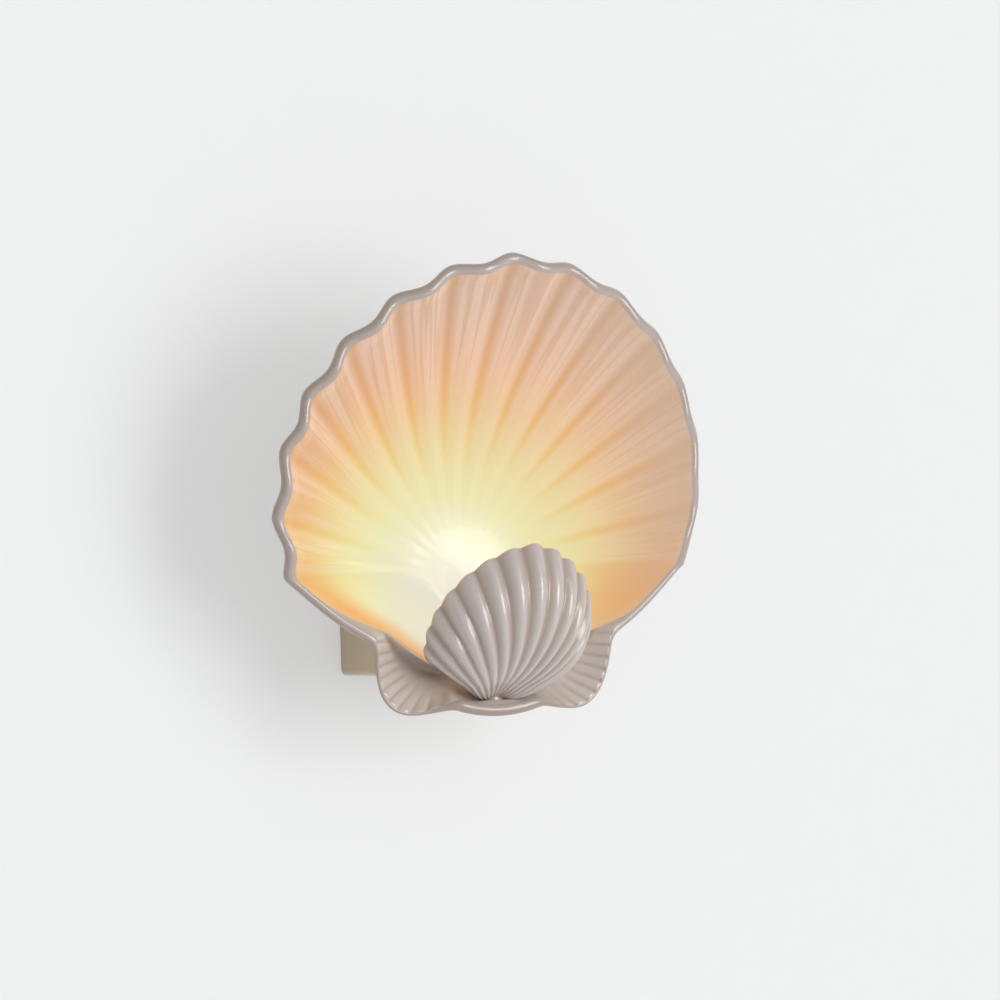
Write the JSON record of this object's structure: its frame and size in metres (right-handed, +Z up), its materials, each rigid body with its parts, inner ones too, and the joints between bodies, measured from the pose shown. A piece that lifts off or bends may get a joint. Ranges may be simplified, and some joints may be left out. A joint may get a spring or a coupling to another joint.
{
  "type": "wall sconce",
  "caption": "Glazed ceramic wall light in the form of a fluted scallop bowl, with a small scallop shell that stands in front of the lamp.",
  "frame": {"origin": "centre of the wall bracket's back face, on the wall", "axes": "-Y away from the wall into the room, +Z up, +X to the right for someone facing the wall"},
  "size_m": [0.255, 0.1517, 0.2505],
  "materials": {
    "bowl_glaze": "cream glaze, gloss",
    "small_glaze": "cream glaze, gloss",
    "box_glaze": "cream glaze, satin",
    "foam": "matte foam",
    "silicone": "matte",
    "zinc_steel": "zinc plated",
    "screw_steel": "zinc plated",
    "brass": "plain",
    "nipple_brass": "plain",
    "grommet_rubber": "matte",
    "bush_plastic": "matte",
    "holder_ceramic": "unglazed steatite",
    "bulb_ceramic": "smooth",
    "bulb_glass": "clear",
    "light": "lit",
    "block_plastic": "matte",
    "lead_brown": "silicone sheath",
    "lead_blue": "silicone sheath",
    "lead_green": "silicone sheath"
  },
  "bodies": {
    "fixture": {"shell_bowl": "bowl_glaze", "small_shell": "small_glaze", "shell_insert": "brass", "shell_screw": "screw_steel", "back_box": "box_glaze", "wall_gasket": "foam", "seat_gasket": "silicone", "wall_bracket": "zinc_steel", "cable_grommet": "grommet_rubber", "side_screws": "screw_steel", "earth_lug": "zinc_steel", "earth_screw": "brass", "threaded_nipple": "nipple_brass", "rear_washer": "zinc_steel", "rear_nut": "nipple_brass", "boss_washer": "silicone", "lock_washer": "screw_steel", "front_nut": "nipple_brass", "nipple_bushes": "bush_plastic", "holder_bracket": "zinc_steel", "lamp_holder": "holder_ceramic", "holder_contacts": "brass", "holder_screws": "screw_steel", "holder_nuts": "screw_steel", "terminal_block": "block_plastic", "terminal_clamps": "brass", "terminal_screws": "screw_steel", "block_screw": "screw_steel", "lead_live": "lead_brown", "lead_neutral": "lead_blue", "earth_lead": "lead_green"},
    "bulb": {"bulb_base": "bulb_ceramic", "bulb_pins": "screw_steel", "bulb_glass": "bulb_glass", "light_stick": "light"}
  },
  "joints": [
    {"name": "bulb_pull", "type": "slide", "parent": "fixture", "child": "bulb", "axis": [0, 0, 1], "range_m": [0, 0.045]}
  ]
}
